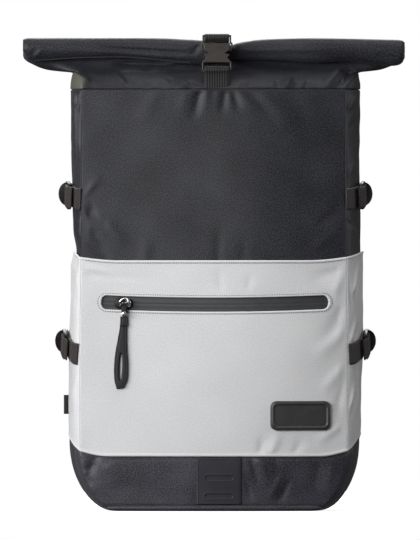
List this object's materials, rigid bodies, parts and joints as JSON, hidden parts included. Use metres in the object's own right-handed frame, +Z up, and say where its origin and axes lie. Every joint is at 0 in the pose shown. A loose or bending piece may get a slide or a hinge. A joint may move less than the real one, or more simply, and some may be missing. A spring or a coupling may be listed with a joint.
{
  "type": "laptop backpack",
  "caption": "Roll-top laptop backpack in black and pale grey coated cloth, with a side-release buckle, a zipped front, side compression straps and a rounded base.",
  "frame": {"origin": "middle of the base's flat underside, on the floor it stands on", "axes": "+Z up; -Y is the front with the zip and buckle, +Y the side that lies against the back; +X is the viewer's right"},
  "size_m": [0.4, 0.2073, 0.5008],
  "materials": {
    "black_cloth": "black coated polyester with a faint sheen",
    "pale_cloth": "pale grey coated polyester, matt",
    "back_mesh": "black padded mesh",
    "webbing": "black ribbed polyester webbing",
    "buckle_plastic": "black moulded acetal, satin",
    "zip_tape": "dark grey laminated zip tape, satin",
    "zip_metal": "bright plated zinc",
    "puller_strap": "black coated strap, matt",
    "rubber": "black soft rubber, satin",
    "coated_patch": "black coated sheet, satin"
  },
  "bodies": {
    "root": {"base_boot": "black_cloth", "front_panel": "black_cloth", "gusset_right": "black_cloth", "gusset_left": "black_cloth", "roll_top": "black_cloth", "back_panel": "black_cloth", "base_piping": "black_cloth", "back_pad": "back_mesh", "shoulder_strap_right": "back_mesh", "shoulder_strap_left": "back_mesh", "pocket_front": "pale_cloth", "side_pocket_right": "pale_cloth", "side_pocket_left": "pale_cloth", "zip_tape": "zip_tape", "zip_slider": "zip_metal", "zip_link": "zip_metal", "zip_puller": "puller_strap", "badge": "rubber", "lamp_patch": "coated_patch", "side_tag": "webbing", "closure_strap_low": "webbing", "closure_strap_high": "webbing", "haul_handle": "webbing", "buckle_socket": "buckle_plastic", "buckle_plug": "buckle_plastic", "ladder_lock_upper_right": "buckle_plastic", "side_strap_upper_front_right": "webbing", "side_strap_upper_rear_right": "webbing", "ladder_lock_upper_left": "buckle_plastic", "side_strap_upper_front_left": "webbing", "side_strap_upper_rear_left": "webbing", "ladder_lock_lower_right": "buckle_plastic", "side_strap_lower_front_right": "webbing", "side_strap_lower_rear_right": "webbing", "ladder_lock_lower_left": "buckle_plastic", "side_strap_lower_front_left": "webbing", "side_strap_lower_rear_left": "webbing", "shoulder_lock_right": "buckle_plastic", "shoulder_web_right": "webbing", "shoulder_tab_right": "webbing", "shoulder_lock_left": "buckle_plastic", "shoulder_web_left": "webbing", "shoulder_tab_left": "webbing"}
  },
  "joints": []
}
